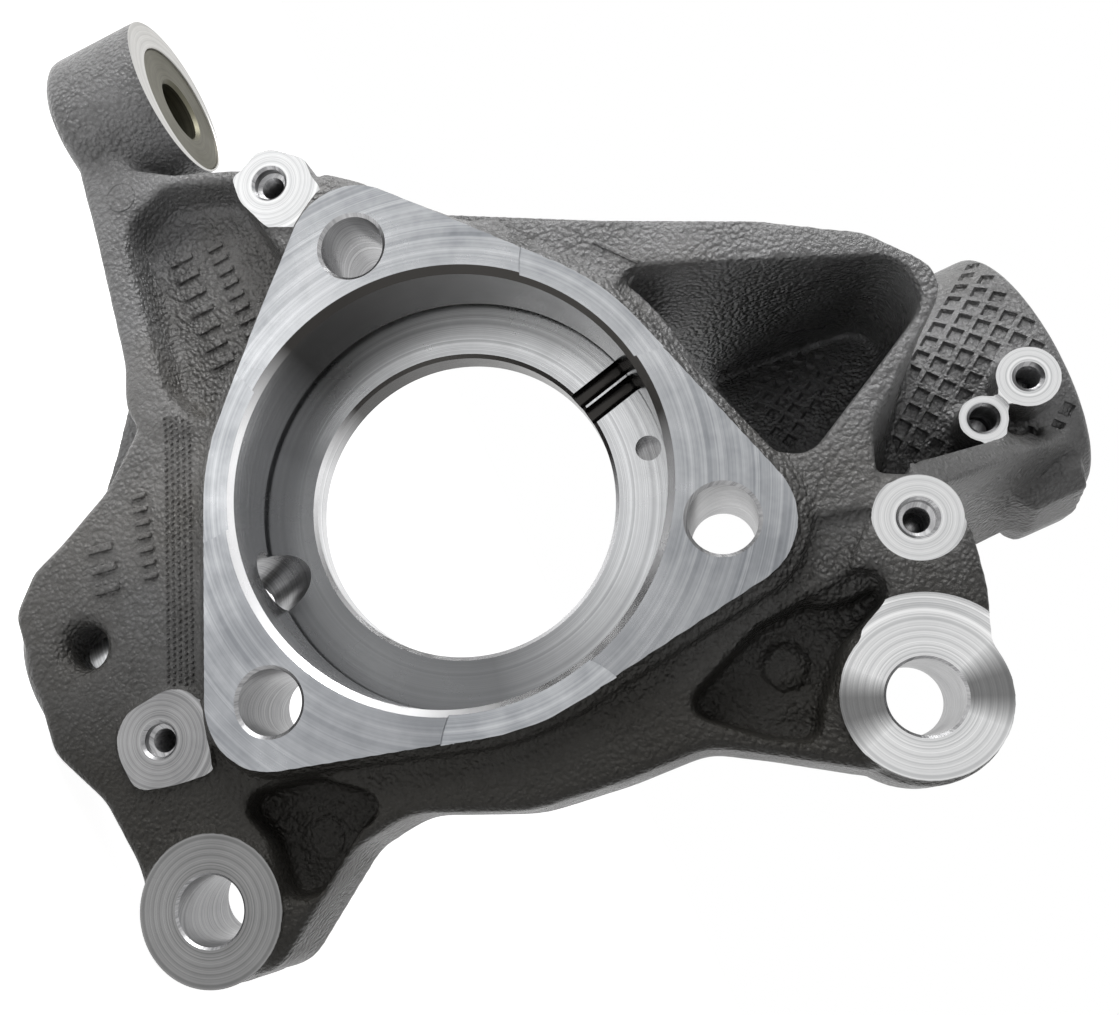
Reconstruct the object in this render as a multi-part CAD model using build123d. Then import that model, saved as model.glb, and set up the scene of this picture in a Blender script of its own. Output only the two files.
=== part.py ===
# Front steering knuckle of a passenger car, cast in aluminium and machined,
# with a steel bush pressed into the steering arm.
#
# Frame: millimetres, the hub flange face is the plane Y = 0, the bearing axis
# is the Y axis and outboard is -Y. +Z is up in the vehicle, where the strut
# clamps in, and the brake caliper bolts on at +X.

import math
import os
from build123d import *

# Bearing seat
seat_radius = 44.5
mouth_radius = 46.0
mouth_depth = 1.6
seat_depth = 21.0
relief_width = 1.6
relief_step = 0.7
lip_radius = 32.8
lip_end = 28.0
lip_chamfer = 0.8

# Hub flange and its three bolts
bolt_circle = 55.35
bolt_angles = (57, 177, 297)
bolt_radius = 6.7
bolt_chamfer = 0.7
bolt_pad_radius = 13.6
rim_radius = 50.4
skirt_extra = 2.2
skirt_pad_extras = (2.6, 0.3, 1.2)
skirt_face = 1.4
housing_back = 32.0
housing_radius = 55.5
relief_zone_depth = 0.45
relief_zone_radius = 20.5
relief_zone_centre = 57.5

# Openings in the bearing housing
sensor_radius = 6.8
sensor_tilt = 38
channel_radius = 1.9
channel_spacing = 4.3
channel_angle = 103
drain_radius = 2.7
drain_angle = 81
drain_reach = 41.2

# Cast web that joins everything
web_face = 5.0
web_back = 27.0
web_draft = 4
cast_edge = 2.2

# Brake caliper ears
ear_face = 4.0
ear_back = 31.5
ear_hole_radius = 7.0
ear_chamfer = 0.5
spot_radius = 19.0
shoulder_face = 2.0
recess_floor = 14.0
recess_draft = 5
recess_edge = 1.8
upper_ear = (75.0, 65.2)
upper_ear_radius = 15.2
lower_ear = (57.6, -77.4)
lower_ear_radius = 15.0
upper_link_radius = 16.2
lower_link_radius = 15.4

# Brake shield bosses, tapped M6
shield_face = 4.0
shield_tap_radius = 2.5
shield_counterbore = 3.45
shield_chamfer = 0.6
shield_thread_depth = 14.0
front_shield = (-79.6, -8.3)
lower_shield = (21.9, -75.2)
upper_shield = (44.8, 78.9)
upper_shield_radius = 8.1
spot_clearance = 0.3

# Strut clamp, a split tube
strut_x = 16.6
strut_y = 75.0
strut_bore_radius = 25.2
strut_wall = 5.8
strut_bottom = 62.0
strut_top = 130.4
strut_edge = 1.5
strut_stop = 68.0
strut_stop_radius = 22.0
clamp_slit = 3.0
pinch_z = 113.0
pinch_y = 114.0
pinch_radius = 6.2
lug_radius = 12.5
lug_width = 16.0
lug_foot = 97.0
pad_low = 111.0
pad_high = 126.5
pad_edge = 2.5
pad_outline = [(34, 58), (44.5, 56), (48.5, 60), (51.5, 76), (51.5, 87), (47.5, 91), (34, 94)]

# Rib from the shield boss up to the clamp, with its sections in X and Y
rib_low = 83.0
rib_high = 125.0
rib_low_section = [(40.5, 7), (50, 77), (38, 77), (34, 9)]
rib_high_section = [(37.5, 50), (48.5, 79), (38, 79), (33, 53)]

# Waffle pattern cast into the clamp
upper_waffle_grid = (4.05, 36)
lower_waffle_grid = (3.45, 29)
waffle_ridge = 1.05
waffle_depth = 0.9
waffle_middle = 100.0
upper_waffle_side = 36.0
upper_waffle_top = 125.6
upper_waffle_corner = (4.0, 123.5)
upper_waffle_slope = -1.29

# Bracket bosses on the clamp
line_boss = (24.3, 118.8, 6.6, 2.5, 35.5)
clip_boss = (28.2, 107.0, 5.1, 2.8, 36.5)
bracket_depth = 12.0

# Steering arm
arm_recess_floor = 14.0
arm_recess_draft = 12
arm_recess_edge = 2.5
eye_x = -115.3
eye_y = 17.0
eye_z = -22.0
eye_tilt = 7.1
eye_lean = 5.1
eye_radius = 18.4
eye_growth = 0.7
eye_offset = (-2.0, -2.3)
eye_length = 24.0
eye_chamfer = 2.5
arm_face = 4.4
arm_back = 27.0
bush_radius = 15.0
bush_bore_radius = 6.9
bush_recess = 0.5
bush_setback = 1.5
bush_groove = 0.35
bush_bore_chamfer = 0.8

# Ball joint boss
joint_x = -2.0
joint_y = 24.5
joint_radius = 19.5
joint_bottom = -100.0
joint_top = -70.0
joint_edge = 2.5
joint_bore_low = 9.2
joint_bore_high = 7.8
core_hole = (-3.4, -84.5, 4.6, 18.0)
core_mouth = 2.1
joint_overlap = 0.01

# Marks of the ejector pins: centre and radius
ejector_step = 0.5
arm_ejector = (-93.6, -40.4, 3.2)
upper_ejector = (59.3, 45.5, 4.1)
lower_ejector = (53.4, -53.3, 4.2)
ejector_ring = 6.6

# Pockets and rib on the inboard side
pocket_floor = 19.5
pocket_draft = 10
corner_rib_back = 33.0


def facing_out(x, y, z):
    return Plane(origin=(x, y, z), x_dir=(1, 0, 0), z_dir=(0, -1, 0))


def rod(centre, radius, y_out, y_in):
    return extrude(facing_out(centre[0], y_in, centre[1]) * Circle(radius), amount=y_in - y_out)


def cone(centre, radius_out, radius_in, y_out, y_in):
    place = facing_out(centre[0], (y_out + y_in) / 2, centre[1])
    return place * Cone(radius_in, radius_out, y_in - y_out)


def outline(corners, y):
    points = [(x, z) for x, z, _ in corners]
    radii = [radius for _, _, radius in corners]
    return facing_out(0, y, 0) * make_face(FilletPolyline(points, radius=radii, close=True))


def prism(corners, y_out, y_in, draft=0, edge=0):
    body = extrude(outline(corners, y_in), amount=y_in - y_out, taper=draft)
    if edge:
        body = fillet(body.faces().sort_by(Axis.Y)[0].edges(), edge)
    return body


def pocket(corners, y_out, y_in, draft=0, edge=0):
    # the mouth is at y_out and the floor at y_in
    plane = Plane(origin=(0, y_out, 0), x_dir=(1, 0, 0), z_dir=(0, 1, 0))
    points = [(x, -z) for x, z, _ in corners]
    radii = [radius for _, _, radius in corners]
    face = plane * make_face(FilletPolyline(points, radius=radii, close=True))
    body = extrude(face, amount=y_in - y_out, taper=draft)
    if edge:
        body = fillet(body.faces().sort_by(Axis.Y)[-1].edges(), edge)
    return body


def bolt_centre(angle):
    turn = math.radians(angle)
    return (bolt_circle * math.cos(turn), bolt_circle * math.sin(turn))


def belt(circles, y):
    # the outline of a belt round circles given as (x, z, radius), anticlockwise
    turns = []
    for (x, z, radius), (x_next, z_next, radius_next) in zip(circles, circles[1:] + circles[:1]):
        heading = math.atan2(z_next - z, x_next - x)
        lean = math.acos((radius - radius_next) / math.hypot(x_next - x, z_next - z))
        turns.append(heading - lean)
    edges = []
    for i, (x, z, radius) in enumerate(circles):
        first, last = turns[i - 1], turns[i]
        sweep = (last - first) % (2 * math.pi)
        edges.append(CenterArc((x, z), radius, math.degrees(first), math.degrees(sweep)))
    for i, edge in enumerate(list(edges)):
        following = edges[(i + 1) % len(circles)]
        edges.append(Line(edge @ 1, following @ 0))
    return facing_out(0, y, 0) * make_face(edges)


def belt_block(circles, y_out, y_in, draft=0, edge=0):
    growth = (y_in - y_out) * math.tan(math.radians(draft))
    wide = [(x, z, radius + growth) for x, z, radius in circles]
    body = Solid.make_loft([belt(wide, y_in).wire(), belt(circles, y_out).wire()], True)
    if edge:
        body = fillet(body.faces().sort_by(Axis.Y)[0].edges(), edge)
    return Part(body.wrapped)


def flange_belt(rim_extra, pad_extras):
    circles = []
    for angle, pad_extra in zip(bolt_angles, pad_extras):
        x, z = bolt_centre(angle)
        circles.append((x, z, bolt_pad_radius + pad_extra))
        circles.append((0, 0, rim_radius + rim_extra))
    return circles


def link(first, first_radius, second, second_radius, y_out, y_in, draft=0, edge=0):
    circles = [(*first, first_radius), (*second, second_radius)]
    return belt_block(circles, y_out, y_in, draft, edge)


def hub_housing():
    body = belt_block(flange_belt(0, (0, 0, 0)), 0, skirt_face + 4)
    body += belt_block(flange_belt(skirt_extra, skirt_pad_extras), skirt_face, housing_back, 2)
    body += rod((0, 0), housing_radius, web_face, housing_back)
    return body


def web():
    corners = [
        (-79, 3.5, 3), (-71.8, 11.3, 10), (-55.6, 21.8, 4), (-46, 33, 12), (-30, 42, 10), (0, 48, 10),
        (26, 66, 10), (37, 86, 8), (50, 88.5, 8), (62, 84.5, 16), (77, 76.5, 10), (87, 54, 12),
        (75.5, 36, 12), (69, 25, 12), (68.5, 8, 25), (66.5, -11, 30), (57.5, -33, 14), (59.3, -46, 12),
        (75, -69, 10), (72, -84, 9), (56, -91.5, 9), (43, -91, 9), (29, -93.2, 12), (15, -100.5, 9),
        (-17.5, -98.8, 7), (-25.2, -90.8, 6), (-28, -83, 14), (-34.5, -69, 14), (-45, -56.5, 12),
        (-62, -52, 10), (-66, -30, 12),
    ]
    return prism(corners, web_face, web_back, web_draft, cast_edge)


def eye_axis():
    # origin in the middle of the machined face, local z out of it
    out, side = math.tan(math.radians(eye_tilt)), math.tan(math.radians(eye_lean))
    return Plane(origin=(eye_x, eye_y, eye_z), x_dir=(1, 0, -side), z_dir=(side, -out, 1))


def steering_arm():
    corners = [
        (-50, 12, 8), (-74, 8, 8), (-89, -14, 6), (-95, -27, 8), (-101, -35, 5), (-113, -36.5, 3.5),
        (-119.5, -41, 3), (-117, -46.5, 3.5), (-104, -49.5, 14), (-90, -51, 30), (-58, -55.5, 20),
        (-42, -61.5, 12), (-30, -40, 8),
    ]
    body = prism(corners, arm_face, arm_back, web_draft, cast_edge)
    dx, dy = eye_offset
    barrel = Cone(eye_radius + eye_growth, eye_radius, eye_length)
    eye = eye_axis() * Pos(dx, dy, -eye_length / 2) * barrel
    eye = chamfer(eye.faces().sort_by(Axis.Z)[0].edges(), eye_chamfer)
    return body + eye


def bush():
    # pressed in flush, with the groove that its outer edge leaves round it
    length = eye_length - bush_recess - bush_setback
    place = eye_axis() * Pos(0, 0, -bush_recess - length / 2)
    body = place * Cylinder(bush_radius, length)
    body = chamfer(body.edges().filter_by(GeomType.CIRCLE), bush_groove)
    body = body - place * Cylinder(bush_bore_radius, 2 * length)
    mouths = body.edges().filter_by(GeomType.CIRCLE).group_by(SortBy.RADIUS)[0]
    return chamfer(mouths, bush_bore_chamfer)


def ball_joint_boss():
    height = joint_top - joint_bottom
    body = Pos(joint_x, joint_y, joint_bottom + height / 2) * Cylinder(joint_radius, height)
    return chamfer(body.faces().sort_by(Axis.Z)[0].edges(), joint_edge)


def caliper_ears():
    body = rod(upper_ear, upper_ear_radius, ear_face, ear_back)
    body += link(upper_ear, upper_link_radius, (50, 48), 17, 9, ear_back - 1, 3, 2)
    body += rod(lower_ear, lower_ear_radius, ear_face, ear_back)
    body += link(lower_ear, lower_link_radius, (34, -52), 15, 11, ear_back - 1, 3, 2)
    shoulder = [
        (43, 84, 4), (50, 86.5, 5), (61.5, 83.8, 8), (72, 79.5, 4), (74, 66, 3), (60, 60, 3), (49, 62, 3),
        (42, 70, 4),
    ]
    return body + prism(shoulder, shoulder_face, web_back, 0, 1.2)


def shield_bosses():
    front = [
        (-84.3, -16.2, 2.5), (-88.4, -8.6, 2), (-87.4, -4.6, 2), (-81.4, 1.6, 2.5),
        (-70.6, 1.2, 2.5), (-65.6, -7, 2), (-71.6, -13.8, 2), (-79.0, -16.6, 2),
    ]
    lower = [
        (14.0, -83.6, 7.5), (12.6, -66.5, 7), (20.5, -63.2, 4), (32.8, -66.2, 2),
        (31.6, -76.0, 2), (29.6, -83.8, 4), (22.0, -84.6, 4),
    ]
    body = prism(front, shield_face, web_back, 1.5)
    body += prism(lower, shield_face, web_face + 8, 1)
    body += rod(upper_shield, upper_shield_radius, shield_face, web_back)
    body += link(upper_shield, 7.6, (40, 62), 13, skirt_face + 5.5, web_back, 4, 2)
    return body


def strut_tube():
    height = strut_top - strut_bottom
    radius = strut_bore_radius + strut_wall
    place = Pos(strut_x, strut_y, strut_bottom + height / 2)
    tube = place * Cylinder(radius, height)
    return chamfer(tube.edges().filter_by(GeomType.CIRCLE), strut_edge)


def waffle_patch(grid, keep):
    # square pockets on a turned grid, as deep as the ring between two cylinders
    pitch, turn = grid
    radius = strut_bore_radius + strut_wall
    cell = pitch - waffle_ridge
    cells = []
    for place in GridLocations(pitch, pitch, 21, 21):
        turned = Pos(strut_x, waffle_middle) * Rot(0, 0, turn) * place
        x, z = turned.position.X, turned.position.Y
        if keep(x, z):
            spot = facing_out(x, strut_y, z) * Rot(0, 0, turn)
            cells.append(spot * Pos(0, 0, radius / 2) * Box(cell, cell, radius + 4))
    core = Pos(strut_x, strut_y, waffle_middle) * Cylinder(radius - waffle_depth, 120)
    return [piece - core for piece in cells]


def upper_waffle():
    corner_x, corner_z = upper_waffle_corner

    def keep(x, z):
        diagonal = corner_z + upper_waffle_slope * (x - corner_x)
        return x < upper_waffle_side and diagonal < z < upper_waffle_top
    return waffle_patch(upper_waffle_grid, keep)


def lower_waffle():
    def keep(x, z):
        return x > -8.5 and z > 70.5 and x < 12 - 0.52 * (z - 75) and z < 80 + 0.75 * (x + 11)
    return waffle_patch(lower_waffle_grid, keep)


def clamp_lugs():
    # the pinch bolt runs along X behind the tube, and a pad stands on its side
    width = 2 * lug_width + clamp_slit
    depth = pinch_y - lug_foot
    body = Pos(strut_x, pinch_y, pinch_z) * Rot(0, 90, 0) * Cylinder(lug_radius, width)
    body += Pos(strut_x, lug_foot + depth / 2, pinch_z) * Box(width, depth, 2 * lug_radius)
    foot = Pos(0, 0, pad_low) * make_face(Polyline(*pad_outline, close=True))
    pad = extrude(foot, amount=pad_high - pad_low)
    return body + chamfer(pad.faces().sort_by(Axis.Z)[0].edges().sort_by(Axis.X)[-3:], pad_edge)


def tapered_block(mouth, far, y_out, y_in):
    ends = [outline(mouth, y_out).wire(), outline(far, y_in).wire()]
    return Part(Solid.make_loft(ends, True).wrapped)


def upper_arm():
    # two walls that meet in a corner, from the flange inboard to the clamp
    y_in = strut_y - 5
    outer_mouth = [
        (-55.6, 18, 4), (-21.6, 79, 30), (-10, 95.5, 7), (5, 105.8, 7), (25.8, 79, 6), (40, 74, 4),
        (36, 58, 3), (-46, 20, 2),
    ]
    outer_far = [
        (-24, 57, 3), (-20, 75, 8), (-16, 97, 8), (3, 104, 8), (30, 88, 6), (34, 70, 6),
        (34, 59, 3), (-19, 56, 3),
    ]
    inner_mouth = [
        (-27, 50.5, 5), (-2.5, 99.3, 8), (8.5, 99.3, 6.5), (25.5, 67, 5), (20.5, 59, 4), (-12, 44, 3),
    ]
    inner_far = [(-10, 44, 3), (-7, 95, 7), (2, 97, 5), (22, 67, 5), (20, 55, 3), (-3, 42, 3)]
    walls = tapered_block(outer_mouth, outer_far, skirt_face + 2, y_in)
    walls -= tapered_block(inner_mouth, inner_far, skirt_face - 1, y_in + 2)
    parting = [
        (-68, 11, 1.5), (-64, 21, 8), (-44.6, 53.2, 40), (-28.3, 82.5, 20), (-21, 92.5, 3), (-13, 91, 3),
        (-22, 72, 20), (-50, 20, 6),
    ]
    return walls + prism(parting, 20, web_back, 3)


def rear_web():
    # the rib on the caliper side, from the shield boss up to the side of the clamp
    ends = []
    for corners, z in ((rib_low_section, rib_low), (rib_high_section, rib_high)):
        ends.append(Pos(0, 0, z) * Polyline(*corners, close=True))
    return Part(Solid.make_loft([Wire(end.edges()) for end in ends], True).wrapped)


def bracket_bosses():
    bosses = Part()
    for x, z, radius, _, y in (line_boss, clip_boss):
        bosses += rod((x, z), radius, y, strut_y - strut_bore_radius - 1)
    return bosses


def lettering_recess():
    corners = [
        (-92, -30, 7), (-84.5, -15, 5.5), (-70, -13, 6), (-59, -10.5, 5.5), (-37, -32, 5.5),
        (-37, -43.5, 5.5), (-47, -48, 7), (-87.5, -43.5, 9),
    ]
    return pocket(corners, arm_face - 1, arm_recess_floor, arm_recess_draft, arm_recess_edge)


def upper_ear_recess():
    corners = [
        (59, 22, 4), (50, 44, 6), (48.5, 67, 4), (55.5, 69, 4), (61, 57, 6), (70, 48, 6), (76, 45, 4),
        (71, 36, 4),
    ]
    return pocket(corners, shoulder_face - 1, recess_floor, recess_draft, recess_edge)


def lower_ear_recess():
    corners = [
        (38, -66, 4), (41, -48, 6), (53.5, -32, 4), (55.5, -43, 6), (64, -56, 4), (62.5, -63, 3.5),
        (50, -62, 6),
    ]
    return pocket(corners, shoulder_face - 1, recess_floor, recess_draft, recess_edge)


def bearing_bore():
    back = housing_back + 30
    tool = rod((0, 0), seat_radius, -5, seat_depth)
    tool += cone((0, 0), mouth_radius + 1, seat_radius, -1, mouth_depth)
    tool += rod((0, 0), seat_radius + relief_step, seat_depth - relief_width, seat_depth)
    tool += rod((0, 0), lip_radius, 0, back)
    tool += cone((0, 0), lip_radius + lip_chamfer, lip_radius, seat_depth, seat_depth + lip_chamfer)
    tool += rod((0, 0), lip_radius + 6, lip_end, back)
    return tool


def through_hole(centre, radius, bevel_out, bevel_in, y_out, y_in):
    tool = rod(centre, radius, y_out - 5, y_in + 5)
    if bevel_out:
        tool += cone(centre, radius + bevel_out, radius, y_out, y_out + bevel_out)
    return tool + cone(centre, radius, radius + bevel_in, y_in - bevel_in, y_in)


def flange_relief_zones():
    tool = Part()
    for angle in bolt_angles:
        turn = math.radians(angle + 180)
        centre = (relief_zone_centre * math.cos(turn), relief_zone_centre * math.sin(turn))
        tool += rod(centre, relief_zone_radius, -2, relief_zone_depth)
    return tool


def seat_openings():
    # wheel speed sensor hole, two oil channels across the shoulder and a drain
    lean = math.radians(sensor_tilt)
    sensor = Plane(origin=(-1.8, seat_depth - 2.4, -seat_radius), x_dir=(1, 0, 0),
                   z_dir=(0, math.sin(lean), -math.cos(lean)))
    tool = sensor * Pos(0, 0, 6) * Cylinder(sensor_radius, 42)
    turn = math.radians(channel_angle)
    for side in (-0.5, 0.5):
        middle = (lip_radius + seat_radius) / 2 + 0.5
        start = Plane(origin=(middle * math.cos(turn), seat_depth, middle * math.sin(turn)),
                      x_dir=(0, 1, 0), z_dir=(math.cos(turn), 0, math.sin(turn)))
        channel = Cylinder(channel_radius, seat_radius - lip_radius + 3)
        tool += start * Pos(0, side * channel_spacing, 0) * channel
    turn = math.radians(drain_angle)
    centre = (drain_reach * math.cos(turn), drain_reach * math.sin(turn))
    tool += rod(centre, drain_radius, seat_depth - 2, seat_depth + 4)
    return tool


def shield_taps():
    tool = Part()
    for centre in (front_shield, lower_shield, upper_shield):
        tool += rod(centre, shield_tap_radius, shield_face - 2, shield_face + shield_thread_depth)
        tool += rod(centre, shield_counterbore, shield_face - 2, shield_face + 2.5)
        tool += cone(centre, shield_counterbore + shield_chamfer, shield_counterbore,
                     shield_face, shield_face + shield_chamfer)
    return tool


def clamp_cuts():
    height = strut_top - strut_bottom
    tool = Pos(strut_x, strut_y, strut_stop + height) * Cylinder(strut_bore_radius, 2 * height)
    tool += Pos(strut_x, strut_y, strut_bottom) * Cylinder(strut_stop_radius, height)
    tool += Pos(strut_x, strut_y + 35, strut_bottom + height / 2) * Box(clamp_slit, 70, height + 30)
    tool += Pos(strut_x, pinch_y, pinch_z) * Rot(0, 90, 0) * Cylinder(pinch_radius, 60)
    return tool


def eye_bore():
    return eye_axis() * Pos(0, 0, -eye_length / 2) * Cylinder(bush_radius, eye_length + 4)


def joint_cuts():
    height = joint_top - joint_bottom
    place = Pos(joint_x, joint_y, joint_bottom + height / 2)
    tool = place * Cone(joint_bore_low, joint_bore_high, height + joint_overlap)
    x, z, radius, depth = core_hole
    tool += rod((x, z), radius, 0, depth)
    return tool + cone((x, z), radius + core_mouth, radius, web_face, web_face + core_mouth)


def machined_cuts():
    tools = [bearing_bore(), flange_relief_zones(), seat_openings(), shield_taps(), clamp_cuts(), eye_bore()]
    for angle in bolt_angles:
        tools.append(through_hole(bolt_centre(angle), bolt_radius, 0, bolt_chamfer, 0, housing_back))
    for centre in (upper_ear, lower_ear):
        tools.append(through_hole(centre, ear_hole_radius, ear_chamfer, ear_chamfer, ear_face, ear_back))
    tools.append(rod(upper_ear, spot_radius, 0, ear_face))
    tools.append(rod(upper_shield, upper_shield_radius + spot_clearance, 0, shield_face))
    for x, z, _, radius, y in (line_boss, clip_boss):
        tools.append(rod((x, z), radius, y - 2, y + bracket_depth))
    tools.append(joint_cuts())
    return tools


def ejector_marks():
    marks = rod(arm_ejector[:2], arm_ejector[2], arm_face - ejector_step, arm_face + 2)
    for x, z, radius in (upper_ejector, lower_ejector):
        marks += rod((x, z), radius, recess_floor - ejector_step, recess_floor + 4)
    return marks


def corner_rib():
    # stiffens the step between the steering arm and the ball joint, on the inboard side
    corners = [
        (-72, -49.5, 3), (-70, -58.3, 4), (-59, -63.2, 20), (-47.8, -71.2, 20), (-41, -76.8, 2),
        (-34, -72, 3), (-43, -58, 6), (-60, -48, 6),
    ]
    return prism(corners, web_back - 2, corner_rib_back, 3)


def inboard_pockets():
    arm = [(-86, -27, 5), (-76, -12, 8), (-63, -12, 8), (-54, -36, 10), (-60, -44, 5), (-86, -42, 8)]
    upper = [(57, 31, 6), (53, 45, 7), (60, 57, 5), (70, 49, 6), (68, 34, 6)]
    lower = [(38, -66, 5), (45, -47, 7), (57, -38, 6), (60, -54, 6), (52, -66, 6)]
    tools = []
    for corners in (arm, upper, lower):
        tools.append(prism(corners, pocket_floor, ear_back + 3, pocket_draft, 2))
    return tools


def casting():
    body = web() + steering_arm()
    body -= lettering_recess()
    body += upper_arm()
    body += caliper_ears()
    body -= upper_ear_recess()
    body -= lower_ear_recess()
    body -= rod(upper_ejector[:2], ejector_ring, ear_face, recess_floor + 1)
    body += hub_housing() + ball_joint_boss() + shield_bosses() + ejector_marks() + corner_rib()
    body += strut_tube() + clamp_lugs() + rear_web()
    body -= upper_waffle()
    body -= lower_waffle()
    body += bracket_bosses()
    body -= inboard_pockets()
    body -= machined_cuts()
    return body


os.makedirs("parts", exist_ok=True)
export_step(casting(), "parts/knuckle_casting.step")
export_step(bush(), "parts/tie_rod_bush.step")
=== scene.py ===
import bpy
import bmesh
import math
from mathutils import Matrix, Vector
from mathutils.bvhtree import BVHTree


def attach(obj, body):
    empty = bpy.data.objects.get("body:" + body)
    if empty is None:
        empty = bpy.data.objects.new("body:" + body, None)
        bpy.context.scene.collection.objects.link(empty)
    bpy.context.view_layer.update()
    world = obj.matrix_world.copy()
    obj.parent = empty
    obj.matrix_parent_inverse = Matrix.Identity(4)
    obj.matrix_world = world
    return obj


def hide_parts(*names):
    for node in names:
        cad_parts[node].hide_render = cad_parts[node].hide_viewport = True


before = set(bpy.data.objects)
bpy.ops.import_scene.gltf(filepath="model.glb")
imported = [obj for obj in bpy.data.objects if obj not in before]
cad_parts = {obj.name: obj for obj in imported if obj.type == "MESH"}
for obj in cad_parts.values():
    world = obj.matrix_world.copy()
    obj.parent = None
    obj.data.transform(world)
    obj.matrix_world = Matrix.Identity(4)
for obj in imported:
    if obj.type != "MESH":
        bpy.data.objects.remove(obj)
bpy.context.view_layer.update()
print("frame loaded")

mm = 0.001
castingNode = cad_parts["knuckle_casting"]
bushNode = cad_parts["tie_rod_bush"]


# shared helpers

def linkMesh(name, bm):
    mesh = bpy.data.meshes.new(name)
    bm.to_mesh(mesh)
    bm.free()
    piece = bpy.data.objects.new(name, mesh)
    bpy.context.scene.collection.objects.link(piece)
    return piece


def axisMatrix(origin, direction):
    # turns local z onto the direction
    turn = Vector(direction).to_track_quat("Z", "Y").to_matrix().to_4x4()
    return Matrix.Translation(Vector(origin) * mm) @ turn


def addRod(bm, start, end, radiusStart, radiusEnd=None):
    # a closed cylinder or cone between two points, in millimetres
    start, end = Vector(start), Vector(end)
    if radiusEnd is None:
        radiusEnd = radiusStart
    place = axisMatrix((start + end) / 2, end - start)
    bmesh.ops.create_cone(
        bm, cap_ends=True, segments=rounds["plain"], radius1=radiusStart * mm,
        radius2=radiusEnd * mm, depth=(end - start).length * mm, matrix=place,
    )


def addRodY(bm, centre, radius, yOut, yIn):
    addRod(bm, (centre[0], yOut, centre[1]), (centre[0], yIn, centre[1]), radius)


def addBox(bm, low, high):
    low, high = Vector(low) * mm, Vector(high) * mm
    size = high - low
    place = Matrix.Translation((low + high) / 2) @ Matrix.Diagonal((*size, 1))
    bmesh.ops.create_cube(bm, size=1, matrix=place)


def applyModifiers(piece):
    depsgraph = bpy.context.evaluated_depsgraph_get()
    mesh = bpy.data.meshes.new_from_object(piece.evaluated_get(depsgraph))
    old = piece.data
    piece.modifiers.clear()
    piece.data = mesh
    bpy.data.meshes.remove(old)


def cut(piece, tool, operation="DIFFERENCE"):
    modifier = piece.modifiers.new("cut", "BOOLEAN")
    modifier.operation = operation
    modifier.object = tool
    modifier.solver = "MANIFOLD"
    applyModifiers(piece)
    bpy.data.objects.remove(tool)


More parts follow.
